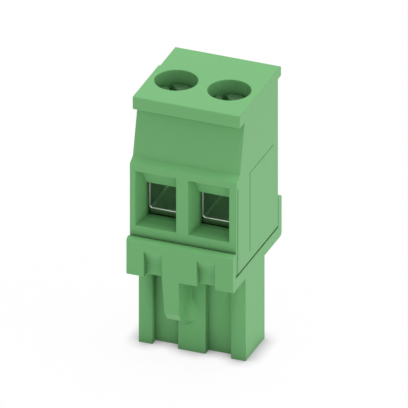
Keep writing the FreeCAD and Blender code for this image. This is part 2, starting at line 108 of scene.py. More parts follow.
class PlasticSettings(bpy.types.PropertyGroup):
    """Colour and surface of the moulded housings."""

    colour: bpy.props.FloatVectorProperty(
        name="Colour", description="Green of the moulded plastic", subtype="COLOR",
        size=3, min=0, max=1, default=(0.18, 0.48, 0.184))
    variation: bpy.props.FloatProperty(
        name="Colour variation", description="How far the green drifts over the moulding",
        subtype="FACTOR", min=0, max=0.3, default=0.045)
    cloud_size: bpy.props.FloatProperty(
        name="Cloud size", description="Size of the broad patches in the green",
        unit="LENGTH", min=0.0001, max=0.1, default=0.006)
    cloud_share: bpy.props.FloatProperty(
        name="Cloud share", description="Share of the broad patches in the green's drift",
        subtype="FACTOR", min=0, max=1, default=0.7)
    flow_size: bpy.props.FloatProperty(
        name="Flow size", description="Width of the upright streaks left by the moulding's flow",
        unit="LENGTH", min=0.0001, max=0.1, default=0.0012)
    roughness: bpy.props.FloatProperty(
        name="Roughness", description="Roughness of the satin surface's smoothest places",
        subtype="FACTOR", min=0, max=1, default=0.34)
    grain_roughness: bpy.props.FloatProperty(
        name="Grain roughness", description="Roughness that the grain adds",
        subtype="FACTOR", min=0, max=1, default=0.1)
    flow_roughness: bpy.props.FloatProperty(
        name="Flow roughness", description="Roughness that the streaks add",
        subtype="FACTOR", min=0, max=1, default=0.06)
    specular: bpy.props.FloatProperty(
        name="Specular level", description="Strength of the satin surface's gloss",
        subtype="FACTOR", min=0, max=1, default=0.2)
    # Painted shade: deep_shade, corner_shade and shade_colour darken the green base colour in
    # wells, recesses and inner corners, where shade falls
    deep_shade: bpy.props.FloatProperty(
        name="Deep shade", description="How much darker wells and recesses are",
        subtype="FACTOR", min=0, max=1, default=0.6)
    deep_reach: bpy.props.FloatProperty(
        name="Deep shade reach", description="Width of an opening that still counts as deep",
        unit="LENGTH", min=0.0001, max=0.02, default=0.0035)
    corner_shade: bpy.props.FloatProperty(
        name="Corner shade", description="How much darker inner corners and slits are",
        subtype="FACTOR", min=0, max=1, default=0.28)
    corner_reach: bpy.props.FloatProperty(
        name="Corner shade reach", description="Distance that a corner's shade spreads",
        unit="LENGTH", min=0.0001, max=0.02, default=0.0008)
    shade_colour: bpy.props.FloatVectorProperty(
        name="Shade colour", description="Green of the deepest places", subtype="COLOR",
        size=3, min=0, max=1, default=(0.08, 0.17, 0.08))
    grain: bpy.props.FloatProperty(
        name="Grain size", description="Spacing of the fine eroded grain",
        unit="LENGTH", min=0.00002, max=0.001, default=0.00009)
    grain_height: bpy.props.FloatProperty(
        name="Grain height", description="Height of the fine eroded grain",
        unit="LENGTH", min=0, max=0.0001, default=0.0000025)
    grain_shade: bpy.props.FloatProperty(
        name="Grain shade", description="How strongly the grain darkens the green",
        subtype="FACTOR", min=0, max=1, default=0.06)
    edge_radius: bpy.props.FloatProperty(
        name="Edge rounding", description="Radius that the moulding's edges shade with",
        unit="LENGTH", min=0, max=0.001, default=0.00006)
    # Painted highlight: the thin edges' green is painted paler, where light would catch them
    edge_highlight: bpy.props.FloatProperty(
        name="Edge lightening", description="How much paler the thin edges are",
        subtype="FACTOR", min=0, max=1, default=0.12)


class MetalSettings(bpy.types.PropertyGroup):
    """Colours and surfaces of the plated metal pieces."""

    zinc: bpy.props.FloatVectorProperty(
        name="Zinc plating", description="Colour of the screws and cages", subtype="COLOR",
        size=3, min=0, max=1, default=(0.7, 0.71, 0.72))
    tin: bpy.props.FloatVectorProperty(
        name="Tin plating", description="Colour of the contacts", subtype="COLOR",
        size=3, min=0, max=1, default=(0.68, 0.67, 0.64))
    roughness: bpy.props.FloatProperty(
        name="Screw roughness", description="Roughness of the turned screws where smoothest",
        subtype="FACTOR", min=0, max=1, default=0.16)
    smudge_size: bpy.props.FloatProperty(
        name="Smudge size", description="Size of the smudges on the screws",
        unit="LENGTH", min=0.0001, max=0.01, default=0.0007)
    smudge_roughness: bpy.props.FloatProperty(
        name="Smudge roughness", description="Roughness that the screws' smudges add",
        subtype="FACTOR", min=0, max=1, default=0.16)
    ring_roughness: bpy.props.FloatProperty(
        name="Ring roughness", description="Roughness that the screws' turning marks add",
        subtype="FACTOR", min=0, max=1, default=0.05)
    ring_wobble: bpy.props.FloatProperty(
        name="Ring wobble", description="Size of the patches in which the turning marks waver",
        unit="LENGTH", min=0.0001, max=0.01, default=0.0009)
    strip_roughness: bpy.props.FloatProperty(
        name="Strip roughness", description="Roughness of the bent strips where smoothest",
        subtype="FACTOR", min=0, max=1, default=0.27)
    strip_spread: bpy.props.FloatProperty(
        name="Strip spread", description="Roughness that marks and clouds each add on the strips",
        subtype="FACTOR", min=0, max=1, default=0.06)
    cage_mottle: bpy.props.FloatProperty(
        name="Cage mottle", description="Size of the clouds in the cages' plating",
        unit="LENGTH", min=0.0001, max=0.01, default=0.0011)
    contact_mottle: bpy.props.FloatProperty(
        name="Contact mottle", description="Size of the clouds in the contacts' plating",
        unit="LENGTH", min=0.0001, max=0.01, default=0.0008)
    # Painted reflection and shade: the plating's colour turns darker green inside the moulding,
    # standing in for the green walls it mirrors
    painted_inner_reflection: bpy.props.FloatVectorProperty(
        name="Inner tint", description="Green that the plating mirrors inside the moulding",
        subtype="COLOR", size=3, min=0, max=1, default=(0.54, 0.8, 0.54))
    # Painted reflection and shade: the strips' front ends are painted dark green, for the shaded
    # green throat they mirror
    painted_front_reflection: bpy.props.FloatVectorProperty(
        name="Front tint", description="Dark green that the strips' front ends mirror",
        subtype="COLOR", size=3, min=0, max=1, default=(0.1, 0.2, 0.09))
    painted_reflection_reach: bpy.props.FloatProperty(
        name="Inner tint reach", description="Width of an opening that still gets the tint",
        unit="LENGTH", min=0.0001, max=0.02, default=0.003)
    tool_mark: bpy.props.FloatProperty(
        name="Tool mark spacing", description="Distance between fine turning or drawing marks",
        unit="LENGTH", min=0.00001, max=0.001, default=0.00007)
    mark_height: bpy.props.FloatProperty(
        name="Tool mark height", description="Height of the turning and drawing marks",
        unit="LENGTH", min=0, max=0.0001, default=0.0000018)
    edge_radius: bpy.props.FloatProperty(
        name="Edge rounding", description="Radius that the metal's edges shade with",
        unit="LENGTH", min=0, max=0.001, default=0.00006)
    # Painted highlights: the screws' and the strips' edges are painted brighter, where light
    # would catch them
    edge_highlight: bpy.props.FloatProperty(
        name="Screw edge light", description="How much brighter the screws' edges are",
        subtype="FACTOR", min=0, max=1, default=0.6)
    strip_edge_highlight: bpy.props.FloatProperty(
        name="Strip edge light", description="How much brighter the strips' edges are",
        subtype="FACTOR", min=0, max=1, default=0.7)


class ScrewSettings(bpy.types.PropertyGroup):
    """Shape of the slotted clamping screws."""

    pitch: bpy.props.FloatProperty(
        name="Thread pitch", description="Distance between two turns of the thread",
        unit="LENGTH", min=0.0001, max=0.002, default=0.00045)
    depth: bpy.props.FloatProperty(
        name="Thread depth", description="Depth of the thread below its crest",
        unit="LENGTH", min=0, max=0.001, default=0.00024)
    crest: bpy.props.FloatProperty(
        name="Crest", description="Flat share of the thread at its crest, and at its root",
        subtype="FACTOR", min=0, max=0.4, default=0.12)
    runout: bpy.props.FloatProperty(
        name="Run-out", description="Turns in which the thread runs out at each end",
        min=0.1, max=4, default=1.2)
    tip_chamfer: bpy.props.FloatProperty(
        name="Tip chamfer", description="Chamfer round the screw's tip",
        unit="LENGTH", min=0, max=0.001, default=0.000285)
    head_height: bpy.props.FloatProperty(
        name="Head height", description="Height of the slotted head",
        unit="LENGTH", min=0.0005, max=0.004, default=0.0016)
    shank_radius: bpy.props.FloatProperty(
        name="Thread radius", description="Radius over the thread's crests",
        unit="LENGTH", min=0.0005, max=0.004, default=0.00125)
    head_edge: bpy.props.FloatProperty(
        name="Head edge radius", description="Rounding of the head's upper edge",
        unit="LENGTH", min=0, max=0.0005, default=0.00016)
    slot_width: bpy.props.FloatProperty(
        name="Slot width", description="Width of the driver slot",
        unit="LENGTH", min=0.0002, max=0.002, default=0.0006)
    slot_depth: bpy.props.FloatProperty(
        name="Slot depth", description="Depth of the driver slot",
        unit="LENGTH", min=0.0001, max=0.0015, default=0.00062)
    slot_angle: bpy.props.FloatProperty(
        name="Slot angle", description="Direction of the driver slot, from +X towards +Y",
        subtype="ANGLE", unit="ROTATION", default=math.radians(135))
    segments: bpy.props.IntProperty(
        name="Segments", description="Points around the screw", min=24, max=192, default=72)
    rows: bpy.props.IntProperty(
        name="Rows a turn", description="Rows of points in one turn of the thread",
        min=4, max=24, default=8)
    edge_rows: bpy.props.IntProperty(
        name="Edge rows", description="Steps in the rounding of the head's upper edge",
        min=1, max=24, default=4)
    sharp: bpy.props.FloatProperty(
        name="Sharp angle", description="Angle from which the screw's edges stay sharp",
        subtype="ANGLE", unit="ROTATION", default=math.radians(40))


class BlendSettings(bpy.types.PropertyGroup):
    """Soft corner between the latch tongue and the middle rib, and the tongue's trim."""

    tongue_side: bpy.props.FloatProperty(
        name="Tongue side", description="Place of the tongue's right side at its foot",
        unit="LENGTH", default=-0.00023)
    rib_front: bpy.props.FloatProperty(
        name="Rib front", description="Place of the middle rib's front",
        unit="LENGTH", default=-0.002925)
    depth: bpy.props.FloatProperty(
        name="Depth", description="How far the blend reaches forward along the tongue",
        unit="LENGTH", min=0, max=0.003, default=0.00115)
    width: bpy.props.FloatProperty(
        name="Width", description="How far the blend's foot runs out over the rib",
        unit="LENGTH", min=0.0001, max=0.0015, default=0.0014)
    top_width: bpy.props.FloatProperty(
        name="Top width", description="How far the blend runs out over the rib below the skirt",
        unit="LENGTH", min=0.0001, max=0.0015, default=0.00015)
    sunk: bpy.props.FloatProperty(
        name="Sunk rim", description="How deep the blend's rim lies in the moulding",
        unit="LENGTH", min=0, max=0.0005, default=0.00001)
    rooted: bpy.props.FloatProperty(
        name="Rooted", description="How deep the blend's back lies in the tongue and the rib",
        unit="LENGTH", min=0, max=0.001, default=0.00014375)
    lean: bpy.props.FloatProperty(
        name="Lean", description="How much the tongue's side leans out for each step up",
        subtype="FACTOR", min=0, max=0.2, default=0.0291)
    lean_from: bpy.props.FloatProperty(
        name="Lean from", description="Height above which the tongue's side leans out",
        unit="LENGTH", default=0.00402)
    trim_top: bpy.props.FloatProperty(
        name="Trim top", description="Height up to which the tongue's side is trimmed",
        unit="LENGTH", default=0.00502)
    trim_foot: bpy.props.FloatProperty(
        name="Trim foot", description="Height from which the tongue's side is trimmed",
        unit="LENGTH", default=0.0026)
    trim_reach: bpy.props.FloatProperty(
        name="Trim reach", description="How far out from the tongue's side the trim goes",
        unit="LENGTH", min=0, max=0.002, default=0.0007)
    trim_depth: bpy.props.FloatProperty(
        name="Trim depth", description="How far forward from the rib the trim goes",
        unit="LENGTH", min=0, max=0.01, default=0.00345)
    trim_gap: bpy.props.FloatProperty(
        name="Trim gap", description="How far in front of the rib the trim stops",
        unit="LENGTH", min=0, max=0.001, default=0.0000115)
    top: bpy.props.FloatProperty(
        name="Top", description="Height where the blend ends inside the skirt",
        unit="LENGTH", default=0.0085)
    widens: bpy.props.FloatProperty(
        name="Widens", description="Height below which the blend grows from top width to width",
        unit="LENGTH", default=0.00564)
    fading: bpy.props.FloatProperty(
        name="Fading", description="Height below which the blend runs out again",
        unit="LENGTH", default=0.0036)
    foot: bpy.props.FloatProperty(
        name="Foot", description="Height where the blend ends",
        unit="LENGTH", default=0.0028)
    steps: bpy.props.IntProperty(
        name="Steps", description="Points across and up the blend", min=6, max=60, default=24)
    sharp: bpy.props.FloatProperty(
        name="Sharp angle", description="Angle from which the blend's edges stay sharp",
        subtype="ANGLE", unit="ROTATION", default=math.radians(60))
    plug_sharp: bpy.props.FloatProperty(
        name="Plug sharp angle", description="Angle from which the plug's edges stay sharp",
        subtype="ANGLE", unit="ROTATION", default=math.radians(15))


class StageSettings(bpy.types.PropertyGroup):
    """Camera, lamps and floor."""

    azimuth: bpy.props.FloatProperty(
        name="Azimuth", description="Camera's turn round the block",
        subtype="ANGLE", unit="ROTATION", default=math.radians(21.3))
    elevation: bpy.props.FloatProperty(
        name="Elevation", description="Camera's height above the horizon",
        subtype="ANGLE", unit="ROTATION", default=math.radians(28.3))
    view_width: bpy.props.FloatProperty(
        name="View width", description="Width that the camera sees",
        unit="LENGTH", min=0.005, max=1, default=0.0364)
    target_height: bpy.props.FloatProperty(
        name="Target height", description="Height of the point in the picture's middle",
        unit="LENGTH", default=0.01346)
    camera_distance: bpy.props.FloatProperty(
        name="Camera distance", description="Distance from the camera to that point",
        unit="LENGTH", min=0.05, max=5, default=0.3)
    ambient: bpy.props.FloatProperty(
        name="Sky", description="Strength of the even light from all round",
        min=0, max=3, default=0.5)
    sun: bpy.props.FloatProperty(
        name="Key lamp", description="Strength of the lamp above", min=0, max=20, default=1.6)
    sun_elevation: bpy.props.FloatProperty(
        name="Key lamp height", description="Key lamp's angle above the horizon",
        subtype="ANGLE", unit="ROTATION", default=math.radians(83))
    sun_azimuth: bpy.props.FloatProperty(
        name="Key lamp direction", description="Key lamp's turn from +X towards +Y",
        subtype="ANGLE", unit="ROTATION", default=math.radians(55))
    sun_softness: bpy.props.FloatProperty(
        name="Key lamp softness", description="Angle that the key lamp fills",
        subtype="ANGLE", unit="ROTATION", min=0, default=math.radians(30))
    fill: bpy.props.FloatProperty(
        name="Fill lamp", description="Strength of the low lamp in front", min=0, max=20,
        default=0.32)
    fill_elevation: bpy.props.FloatProperty(
        name="Fill lamp height", description="Fill lamp's angle above the horizon",
        subtype="ANGLE", unit="ROTATION", default=math.radians(8))
    fill_azimuth: bpy.props.FloatProperty(
        name="Fill lamp direction", description="Fill lamp's turn from +X towards +Y",
        subtype="ANGLE", unit="ROTATION", default=math.radians(-75))
    fill_softness: bpy.props.FloatProperty(
        name="Fill lamp softness", description="Angle that the fill lamp fills",
        subtype="ANGLE", unit="ROTATION", min=0, default=math.radians(60))
    side: bpy.props.FloatProperty(
        name="Side lamp", description="Strength of the low lamp at the right", min=0, max=20,
        default=0.43)
    side_elevation: bpy.props.FloatProperty(
        name="Side lamp height", description="Side lamp's angle above the horizon",
        subtype="ANGLE", unit="ROTATION", default=math.radians(18))
    side_azimuth: bpy.props.FloatProperty(
        name="Side lamp direction", description="Side lamp's turn from +X towards +Y",
        subtype="ANGLE", unit="ROTATION", default=math.radians(0))
    side_softness: bpy.props.FloatProperty(
        name="Side lamp softness", description="Angle that the side lamp fills",
        subtype="ANGLE", unit="ROTATION", min=0, default=math.radians(40))
    floor_size: bpy.props.FloatProperty(
        name="Floor size", description="Side of the floor",
        unit="LENGTH", min=0.1, max=10, default=1.2)
    floor_shade: bpy.props.FloatProperty(
        name="Floor shade", description="Brightness that the floor lends to the block",
        subtype="FACTOR", min=0, max=1, default=0.9)
    # Painted shadow: shadow_reach sets how far the floor's painted contact shadow spreads
    shadow_reach: bpy.props.FloatProperty(
        name="Contact shadow", description="How far the dark line at the foot spreads",
        unit="LENGTH", min=0.0001, max=0.02, default=0.0016)
    shadow_share: bpy.props.FloatProperty(
        name="Cast shadow", description="Share of the cast shadow that the camera sees",
        subtype="FACTOR", min=0, max=1, default=0.06)


# Shader maths

class Value:
    """What a node gives, with arithmetic that adds Math nodes."""

    def __init__(self, finish, socket):
        self.finish = finish
        self.socket = socket

    def math(self, operation, *others):
        return self.finish.math(operation, self, *others)

    def __add__(self, other):
        return self.math("ADD", other)

    def __sub__(self, other):
        return self.math("SUBTRACT", other)

    def __rsub__(self, other):
        return self.finish.math("SUBTRACT", other, self)

    def __mul__(self, other):
        return self.math("MULTIPLY", other)

    def __truediv__(self, other):
        return self.math("DIVIDE", other)

    def __rtruediv__(self, other):
        return self.finish.math("DIVIDE", other, self)

    def __abs__(self):
        return self.math("ABSOLUTE")

    __radd__ = __add__
    __rmul__ = __mul__


class Finish:
    """A node tree that is written as Python expressions."""

    bevel_samples = 6
    closeness_samples = 12
    edge_gain = 6

    def __init__(self, tree):
        self.tree = tree
        self.tree.nodes.clear()

    def node(self, kind, settings=None, inputs=None):
        """Any node: its settings go in first, then its values and links."""
        made = self.tree.nodes.new(kind)
        for name, setting in (settings or {}).items():
            if name == "stops":
                for element, (at, shade) in zip(made.color_ramp.elements, setting):
                    element.position = at
                    element.color = (shade, shade, shade, 1)
            else:
                setattr(made, name, setting)
        for name, given in (inputs or {}).items():
            if isinstance(given, Value):
                given = given.socket
            if isinstance(given, bpy.types.NodeSocket):
                self.tree.links.new(given, made.inputs[name])
            else:
                made.inputs[name].default_value = given
        return made

    def value(self, kind, settings=None, inputs=None, output=0):
        """One output of a new node."""
        return Value(self, self.node(kind, settings, inputs).outputs[output])

    def math(self, operation, *numbers):
        """Math node on numbers and Values, in their order."""
        return self.value(
            "ShaderNodeMath", {"operation": operation}, dict(enumerate(numbers)))

    def place(self):
        """Place on the object, in metres."""
        return self.value("ShaderNodeTexCoord", output="Object")

    def part(self, vector, axis):
        """One part of a vector: X, Y or Z."""
        return self.value("ShaderNodeSeparateXYZ", {}, {"Vector": vector}, output=axis)

    def stretched(self, place, factors):
        """Place with each part multiplied, so that noise stretches where it is low."""
        return self.value(
            "ShaderNodeVectorMath", {"operation": "MULTIPLY"}, {0: place, 1: factors})

    def noise(self, place, size, detail=2.0, roughness=0.5):
        """Cloudy noise whose patches are about as large as size."""
        return self.value("ShaderNodeTexNoise", {}, {
            "Vector": place, "Scale": 1 / size, "Detail": detail, "Roughness": roughness})

    def ramp(self, factor, low, high):
        """0 below low, 1 above high."""
        return self.value(
            "ShaderNodeValToRGB", {"stops": ((low, 0), (high, 1))}, {"Fac": factor})

    def mix(self, factor, first, second):
        """Colour between two colours, each given as numbers or a Value."""
        return self.value("ShaderNodeMix", {"data_type": "RGBA"}, {
            0: factor, 6: opaque(first), 7: opaque(second)}, output=2)

    def rounded(self, radius):
        """Surface direction with the edges rounded off."""
        return self.value(
            "ShaderNodeBevel", {"samples": self.bevel_samples}, {"Radius": radius},
            output="Normal")

    def edge(self, rounded):
        """1 on the edges and 0 away from them."""
        facing = self.value("ShaderNodeNewGeometry", output="Normal")
        dot = self.value(
            "ShaderNodeVectorMath", {"operation": "DOT_PRODUCT"},
            {0: rounded, 1: facing}, output="Value")
        return ((1 - dot) * self.edge_gain).math("MINIMUM", 1.0)

    def closeness(self, reach):
        """0 in the open and 1 where other surfaces stand all round, within reach."""
        return 1 - self.value(
            "ShaderNodeAmbientOcclusion", {"samples": self.closeness_samples},
            {"Distance": reach}, output="AO")

    def inside(self, s):
        """How far the metal stands inside the moulding, from 0 to 1: where the painted green
        reflection and shade go.
        """
        return self.ramp(self.closeness(s.painted_reflection_reach), *INSIDE_RAMP)

    def front(self):
        """1 on faces square to the wire side and 0 on all others."""
        facing = self.value("ShaderNodeNewGeometry", output="True Normal")
        return self.ramp(self.part(facing, "Y") * -1, *FRONT_RAMP)

    def bump(self, height, distance, normal):
        """Surface direction with fine relief on it."""
        return self.value("ShaderNodeBump", {}, {
            "Height": height, "Distance": distance, "Strength": 1.0, "Normal": normal},
            output="Normal")


def opaque(colour):
    """Colour with its alpha, or a Value as it is."""
    return colour if isinstance(colour, Value) else (*colour[:3], 1)


def shaded(colour, factor):
    """Colour made darker or brighter."""
    return tuple(min(1.0, c * factor) for c in colour)


def new_finish(name):
    """New material and its empty node tree."""
    material = bpy.data.materials.new(name)
    material.use_nodes = True
    return material, Finish(material.node_tree)


def close_finish(finish, constants, varying):
    """Principled shader: constants on its own sockets, the rest linked."""
    shader = finish.node("ShaderNodeBsdfPrincipled", {}, {**constants, **varying})
    finish.node("ShaderNodeOutputMaterial", {}, {"Surface": shader.outputs["BSDF"]})


# Materials

def green_plastic(s):
    """Satin moulded plastic: drifting green, eroded grain, painted highlights on the edges and
    painted shade in hollows and corners.
    """
    material, finish = new_finish("Green moulded plastic")
    place = finish.place()
    cloud = finish.noise(place, s.cloud_size, detail=3.0)
    flow = finish.noise(finish.stretched(place, PLASTIC_FLOW), s.flow_size)
    grain = finish.noise(place, s.grain, detail=3.0, roughness=0.6)
    rounded = finish.rounded(s.edge_radius)
    drift = cloud * s.cloud_share + flow * (1 - s.cloud_share)
    body = finish.mix(
        drift, shaded(s.colour, 1 - s.variation), shaded(s.colour, 1 + s.variation))
    # Painted highlight along the edges
    edge = finish.edge(rounded) * s.edge_highlight
    edge_highlighted = finish.mix(edge, body, shaded(s.colour, EDGE_HIGHLIGHT_GAIN))
    speckled = finish.mix(grain * s.grain_shade, edge_highlighted, shaded(s.colour, DARK_SPECK))
    # Painted shade: the green darkens towards shade_colour in deep hollows and inner corners,
    # where other surfaces stand close round
    deep = finish.ramp(finish.closeness(s.deep_reach), *DEEP_RAMP) * s.deep_shade
    corner = finish.closeness(s.corner_reach) * s.corner_shade
    close_finish(finish, {"IOR": 1.5, "Specular IOR Level": s.specular}, {
        "Base Color": finish.mix(deep + corner, speckled, s.shade_colour),
        "Roughness": s.roughness + grain * s.grain_roughness + flow * s.flow_roughness,
        "Normal": finish.bump(grain, s.grain_height, rounded),
    })
    return material


def turned_zinc(s):
    """Plated turned steel with fine rings, painted green reflection and shade inside the
    moulding, and painted edge highlights.

    The rings centre on the right screw's axis. On the left screw they lie a
    little to the side, because the screws don't stand evenly about the middle.
    """
    material, finish = new_finish("Turned zinc plated steel")
    place = finish.place()
    axis = screw_measures(SCREW_NODES[1])[0]
    across = abs(finish.part(place, "X")) - axis.x
    along = finish.part(place, "Y") - axis.y
    radius = (across * across + along * along).math("SQRT")
    wobble = finish.noise(place, s.ring_wobble) * RING_WAVER
    rings = (radius / s.tool_mark * math.tau + wobble).math("SINE") * 0.5 + 0.5
    smudge = finish.noise(place, s.smudge_size, detail=4.0, roughness=0.6)
    relief = rings * RING_RELIEF + smudge * (1 - RING_RELIEF)
    rounded = finish.rounded(s.edge_radius)
    dull, clean = (shaded(s.zinc, factor) for factor in SCREW_CLOUDS)
    # Painted reflection and shade: darker green where the screw stands inside the moulding
    body = finish.mix(finish.inside(s), finish.mix(smudge, dull, clean), s.painted_inner_reflection)
    # Painted highlight along the screw's edges
    edge = finish.edge(rounded) * s.edge_highlight
    rough = s.roughness + smudge * s.smudge_roughness + rings * s.ring_roughness
    close_finish(finish, {"Metallic": 1.0}, {
        "Base Color": finish.mix(edge, body, shaded(s.zinc, METAL_EDGE_HIGHLIGHT_GAIN)),
        "Roughness": rough,
        "Normal": finish.bump(relief, s.mark_height, rounded),
    })
    return material


def rolled_metal(name, colour, front, s, marks, mottle):
    """Plated strip: drawing marks along the strip, clouded plating, painted green reflection and
    shade inside the moulding and on the front ends, and painted edge highlights.
    """
    material, finish = new_finish(name)
    place = finish.place()
    lines = finish.noise(finish.stretched(place, marks), s.tool_mark, roughness=0.6)
    clouds = finish.noise(place, mottle, detail=4.0, roughness=0.6)
    rounded = finish.rounded(s.edge_radius)
    dull, clean = (shaded(colour, factor) for factor in STRIP_CLOUDS)
    # Painted reflection and shade: darker green where the strip stands inside the moulding
    inner = finish.mix(finish.inside(s), finish.mix(clouds, dull, clean), s.painted_inner_reflection)
    # Painted reflection and shade on the faces square to the wire side
    body = finish.mix(finish.front(), inner, front)
    # Painted highlight along the strip's edges, such as the bright line round the cage's opening
    edge = finish.edge(rounded) * s.strip_edge_highlight
    close_finish(finish, {"Metallic": 1.0}, {
        "Base Color": finish.mix(edge, body, shaded(colour, METAL_EDGE_HIGHLIGHT_GAIN)),
        "Roughness": s.strip_roughness + (lines + clouds) * s.strip_spread,
        "Normal": finish.bump(lines, s.mark_height, rounded),
    })
    return material


# Meshes

def skin(name, rings):
    """Closed mesh over rings of points, with both ends capped."""
    shape = bmesh.new()
    loops = [[shape.verts.new(point) for point in ring] for ring in rings]
    for lower, upper in zip(loops, loops[1:]):
        for i in range(len(lower)):
            j = (i + 1) % len(lower)
            shape.faces.new((lower[i], lower[j], upper[j], upper[i]))
    shape.faces.new(list(reversed(loops[0])))
    shape.faces.new(loops[-1])
    return finished(name, shape)


def finished(name, shape):
    """Mesh of a shape that is done."""
    mesh = bpy.data.meshes.new(name)
    shape.to_mesh(mesh)
    shape.free()
    return mesh


def screw_measures(node):
    """A screw's centre, its head's radius and the heights of its tip and top."""
    low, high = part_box(node)
    radius = min(high.x - low.x, high.y - low.y) / 2
    return (low + high) / 2, radius, low.z, high.z


def thread_radius(s, turns, share):
    """Radius of the thread: a vee with a flat crest and root."""
    wave = abs((turns % 1) * 2 - 1)
    flank = min(1.0, max(0.0, (wave - s.crest) / (1 - 2 * s.crest)))
    return s.shank_radius - s.depth * flank * share


def screw_rings(s, head_radius, tip, top):
    """Heights from the tip to the head's top, each with its radius by turn."""
    neck = top - s.head_height
    start = tip + s.tip_chamfer
    runout = s.pitch * s.runout
    under = s.head_edge / 2
    count = round((neck - start) / s.pitch * s.rows)
    rings = [(tip, lambda turn: s.shank_radius - s.tip_chamfer)]
    for i in range(count + 1):
        z = start + (neck - start) * i / count
        share = min(1.0, (z - tip) / runout, (neck - z) / runout)
        rings.append((z, lambda turn, z=z, share=share: thread_radius(
            s, z / s.pitch - turn, share)))
    rings.append((neck, lambda turn: head_radius - under))
    rings.append((neck + under, lambda turn: head_radius))
    for i in range(s.edge_rows + 1):
        angle = math.pi / 2 * i / s.edge_rows
        inset = s.head_edge * (1 - math.cos(angle))
        z = top - s.head_edge * (1 - math.sin(angle))
        rings.append((z, lambda turn, inset=inset: head_radius - inset))
    return rings


def screw_mesh(name, s, centre, head_radius, tip, top):
    """Headed screw with a real helical thread, before its slot is cut."""
    rings = []
    for z, radius in screw_rings(s, head_radius, tip, top):
        ring = []
        for i in range(s.segments):
            turn = i / s.segments
            x = centre.x + radius(turn) * math.cos(math.tau * turn)
            y = centre.y + radius(turn) * math.sin(math.tau * turn)
            ring.append((x, y, z))
        rings.append(ring)
    return skin(name, rings)


def slot_mesh(s, centre, head_radius, top):
    """Block that the driver slot is cut with."""
    shape = bmesh.new()
    size = (head_radius * 4, s.slot_width, s.slot_depth * 2)
    bmesh.ops.create_cube(shape, size=1.0, matrix=(
        Matrix.Translation((centre.x, centre.y, top))
        @ Matrix.Rotation(s.slot_angle, 4, "Z")
        @ Matrix.Diagonal((*size, 1))))
    return finished("slot_cut", shape)


def smooth(share):
    """0 to 1 with soft ends."""
    share = min(1.0, max(0.0, share))
    return share * share * (3 - 2 * share)


def blend_ring(s, z):
    """Outline of the blend at one height: its hollow front, then its back."""
    side = s.tongue_side + s.lean * max(0, z - s.lean_from)
    depth = s.depth * smooth((z - s.foot) / (s.fading - s.foot))
    widening = smooth((s.widens - z) / (s.widens - s.fading))
    width = s.top_width + (s.width - s.top_width) * widening
    front = [(side - s.rooted, s.rib_front - depth - 2 * s.rooted)]
    for j in range(s.steps + 1):
        share = (j / s.steps) ** 2
        hollow = 1 - math.sqrt(1 - (1 - share) ** 2)
        front.append((side + width * share, s.rib_front + s.sunk - depth * hollow))
    back = [(x, s.rib_front + s.rooted) for x, y in reversed(front)]
    return [(x, y, z) for x, y in front + back]


def blend_mesh(s):
    """Hollow corner that starts on the tongue's side and runs out on the rib."""
    heights = [s.foot + (s.top - s.foot) * i / s.steps for i in range(s.steps + 1)]
    return skin("Tongue_blend", [blend_ring(s, z) for z in heights])


def trim_block(s):
    """Block that takes the tongue's right side down to a plain face."""
    beyond = s.tongue_side + s.trim_reach
    leant = s.tongue_side + s.lean * (s.trim_top - s.lean_from)
    outline = [
        (s.tongue_side, s.trim_foot), (beyond, s.trim_foot), (beyond, s.trim_top),
        (leant, s.trim_top), (s.tongue_side, s.lean_from),
    ]
    ends = (s.rib_front - s.trim_gap, s.rib_front - s.trim_depth)
    return skin("tongue_trim", [[(x, y, z) for x, z in outline] for y in ends])


# Pieces

def link(name, data):
    """New object in the scene that shows a mesh, camera or lamp."""
    made = bpy.data.objects.new(name, data)
    bpy.context.scene.collection.objects.link(made)
    return made


def cut(target, tool):
    """Cut tool out of target, for good."""
    change = target.modifiers.new("cut", "BOOLEAN")
    change.operation = "DIFFERENCE"
    change.solver = "EXACT"
    change.object = tool
    bpy.context.view_layer.update()
    evaluated = target.evaluated_get(bpy.context.evaluated_depsgraph_get())
    target.data = bpy.data.meshes.new_from_object(evaluated)
    target.modifiers.clear()
    bpy.data.objects.remove(tool)


def dress(piece, material, sharp):
    """Give a new piece its material, and smooth shading with sharp edges kept."""
    piece.data.materials.clear()
    piece.data.materials.append(material)
    for face in piece.data.polygons:
        face.use_smooth = True
    piece.data.set_sharp_from_angle(angle=sharp)


def flatten(piece):
    """Let the large flat faces decide the shading beside rounded edges."""
    change = piece.modifiers.new("flat", "WEIGHTED_NORMAL")
    change.weight = 100
    change.keep_sharp = True


def cad_piece(node):
    """CAD piece of that name, or an error where the frame lacks it."""
    if node not in frame["nodes"]:
        raise RuntimeError("the frame has no piece named " + node)
    return frame["nodes"][node]


def give(nodes, material):
    """Put one material on CAD nodes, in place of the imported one."""
    for node in nodes:
        mesh = cad_piece(node).data
        mesh.materials.clear()
        mesh.materials.append(material)


def body_with(node):
    """Name of the moving body that a CAD node belongs to."""
    for body, members in frame["record"]["behaviour"]["bodies"].items():
        if node in members:
            return body
    raise RuntimeError("no body holds the piece named " + node)


# Stage

def direction(azimuth, elevation):
    """Unit vector towards a place given by its two angles."""
    return Vector((
        math.cos(azimuth) * math.cos(elevation),
        math.sin(azimuth) * math.cos(elevation),
        math.sin(elevation)))


def aim(name, data, towards):
    """Camera or lamp that stands in a direction and looks back along it."""
    made = link(name, data)
    made.rotation_euler = (-towards).to_track_quat("-Z", "Y").to_euler()
    return made


def add_camera(s):
    """Parallel camera whose picture is as wide as the view."""
    data = bpy.data.cameras.new("Camera")
    data.type = "ORTHO"
    data.ortho_scale = s.view_width
    data.clip_start = s.camera_distance * NEAR_SHARE
    data.clip_end = s.camera_distance * FAR_SHARE
    back = direction(s.azimuth - math.pi / 2, s.elevation)
    camera = aim("Camera", data, back)
    camera.location = Vector((0, 0, s.target_height)) + back * s.camera_distance
    bpy.context.scene.camera = camera


